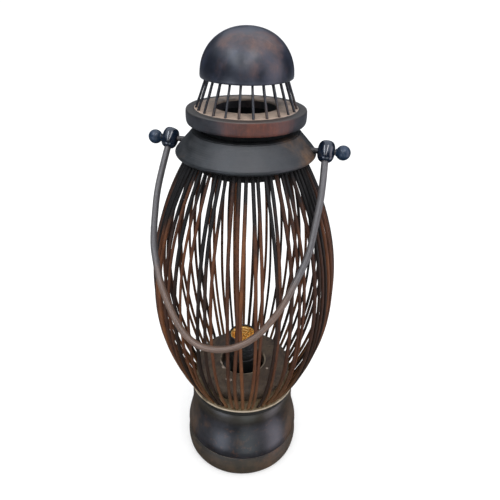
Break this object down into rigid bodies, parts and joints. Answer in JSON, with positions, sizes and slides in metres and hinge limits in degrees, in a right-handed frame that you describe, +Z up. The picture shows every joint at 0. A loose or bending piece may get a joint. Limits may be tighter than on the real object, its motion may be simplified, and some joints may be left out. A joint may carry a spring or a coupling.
{
  "type": "reed lantern table lamp",
  "caption": "Lantern-shaped table lamp: turned dark base and collar joined by a cage of bent reeds, domed cap on straight sticks, cane carrying bail, threaded lampholder inside.",
  "frame": {"origin": "centre of the foot ring's resting face, on the turning axis", "axes": "+Z up the turning axis, X along the bail's pivot axis, -Y to the side the bail rests on"},
  "size_m": [0.1898, 0.204, 0.4748],
  "materials": {
    "dark_lacquer": "satin dark lacquer, worn to brown in patches",
    "worn_lacquer": "satin lacquer, much worn to reddish brown",
    "black_stick": "black lacquer",
    "black_wood": "matt black",
    "pin_wood": "dark stained",
    "bead_gloss": "glossy blue-black lacquer",
    "cane": "worn grey-brown cane, satin",
    "reed": "dark-stained reed, worn reddish brown",
    "rim_wood": "raw pale top face, dark lacquered side",
    "dusty_wood": "dusty brown, matt",
    "phenolic": "black moulded, satin",
    "insulator": "unglazed",
    "brass": "bright, a little tarnished",
    "steel": "zinc plated",
    "lead_brown": "insulated lead",
    "lead_blue": "insulated lead",
    "block_plastic": "moulded",
    "black_plastic": "moulded",
    "hardboard": "matt board"
  },
  "bodies": {
    "lamp": {"collar": "dark_lacquer", "base_body": "dark_lacquer", "foot_ring": "worn_lacquer", "throat_sleeve": "black_wood", "pivot_pin_left": "pin_wood", "pivot_pin_right": "pin_wood", "end_ball_left": "bead_gloss", "end_ball_right": "bead_gloss", "cage_front": "reed", "cage_right": "reed", "cage_back": "reed", "cage_left": "reed", "base_rim": "rim_wood", "platform": "dusty_wood", "holder_base": "phenolic", "holder_skirt": "phenolic", "shell_insulator": "insulator", "screw_shell": "brass", "centre_contact": "brass", "terminal_screws": "brass", "nipple": "brass", "holder_strap": "steel", "strap_screws": "steel", "lock_nut": "steel", "washer": "steel", "block_screws": "steel", "cover_screws": "steel", "lead_live": "lead_brown", "lead_neutral": "lead_blue", "terminal_block": "block_plastic", "cord_bushing": "black_plastic", "bottom_cover": "hardboard"},
    "lid": {"cap_dome": "dark_lacquer", "cap_sticks": "black_stick", "upper_ring": "worn_lacquer", "neck": "black_wood"},
    "bail": {"bail": "cane", "bead_left": "bead_gloss", "bead_right": "bead_gloss"}
  },
  "joints": [
    {"name": "bail_swing", "type": "hinge", "parent": "lamp", "child": "bail", "pos_m": [0, 0, 0.375], "axis": [-1, 0, 0], "range_deg": [0, 289]},
    {"name": "lid_lift", "type": "slide", "parent": "lamp", "child": "lid", "axis": [0, 0, 1], "range_m": [0, 0.06]}
  ]
}
